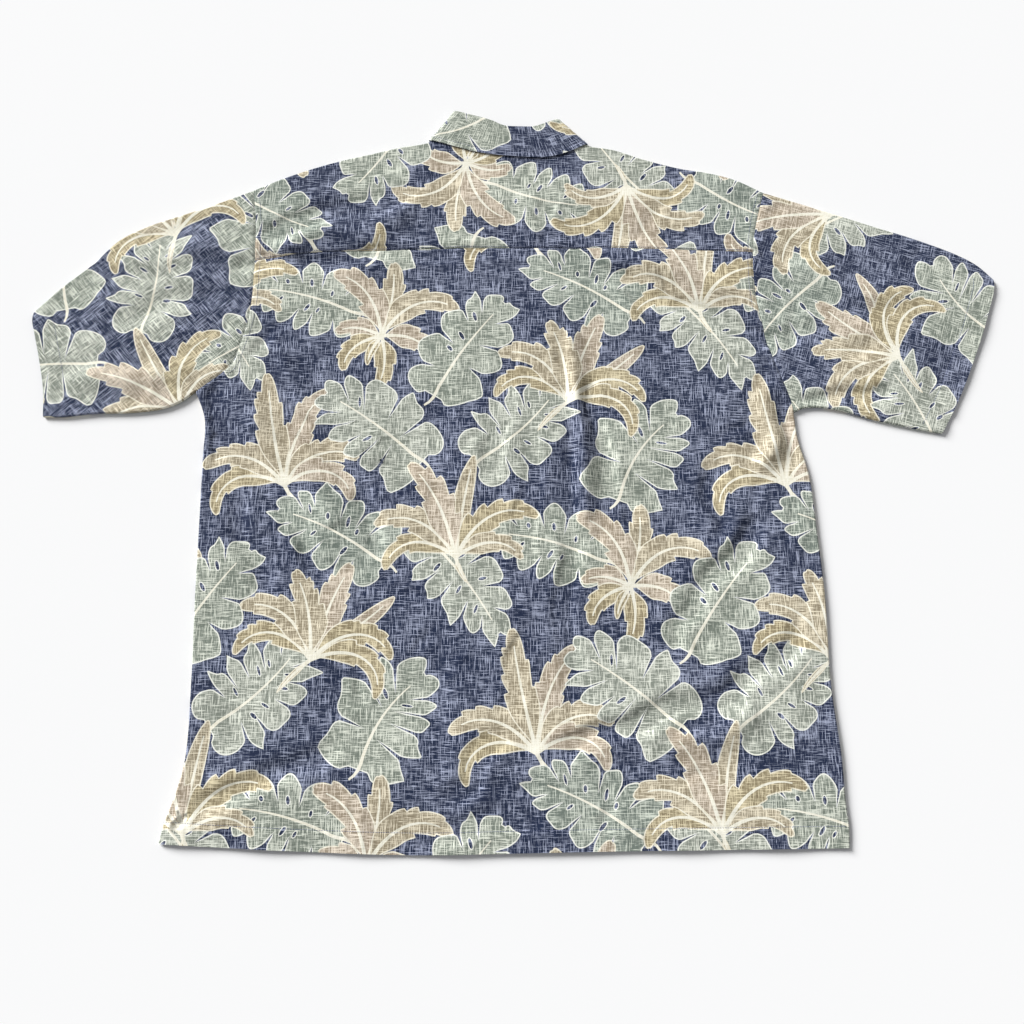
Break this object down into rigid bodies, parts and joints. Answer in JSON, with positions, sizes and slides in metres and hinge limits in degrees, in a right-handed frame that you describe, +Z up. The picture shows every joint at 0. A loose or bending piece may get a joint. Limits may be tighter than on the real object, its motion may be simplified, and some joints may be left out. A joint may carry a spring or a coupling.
{
  "type": "hawaiian shirt laid flat on its front",
  "caption": "Short-sleeved aloha shirt with a leaf print, buttoned and laid flat on its front with the back up.",
  "frame": {"origin": "middle of the outline of the laid-out shirt, on the surface that it lies on", "axes": "+X across the shirt towards its right sleeve as worn, +Y from the hem to the collar, +Z up out of the surface, with the back of the shirt facing up"},
  "size_m": [1.1233, 0.866, 0.0065],
  "materials": {
    "printed_cotton": "plain-weave cotton, printed on the other side so the leaf print shows soft and muted: navy ground with a pale crosshatch, sage green leaves and tan leaf sprays",
    "button": "polished brown sewn-through button"
  },
  "bodies": {
    "root": {"back": "printed_cotton", "yoke": "printed_cotton", "front_left": "printed_cotton", "front_right": "printed_cotton", "sleeve_left": "printed_cotton", "sleeve_right": "printed_cotton", "collar_fall": "printed_cotton", "collar_stand": "printed_cotton", "button_1": "button", "button_2": "button", "button_3": "button", "button_4": "button", "button_5": "button", "button_6": "button", "button_7": "button"}
  },
  "joints": []
}
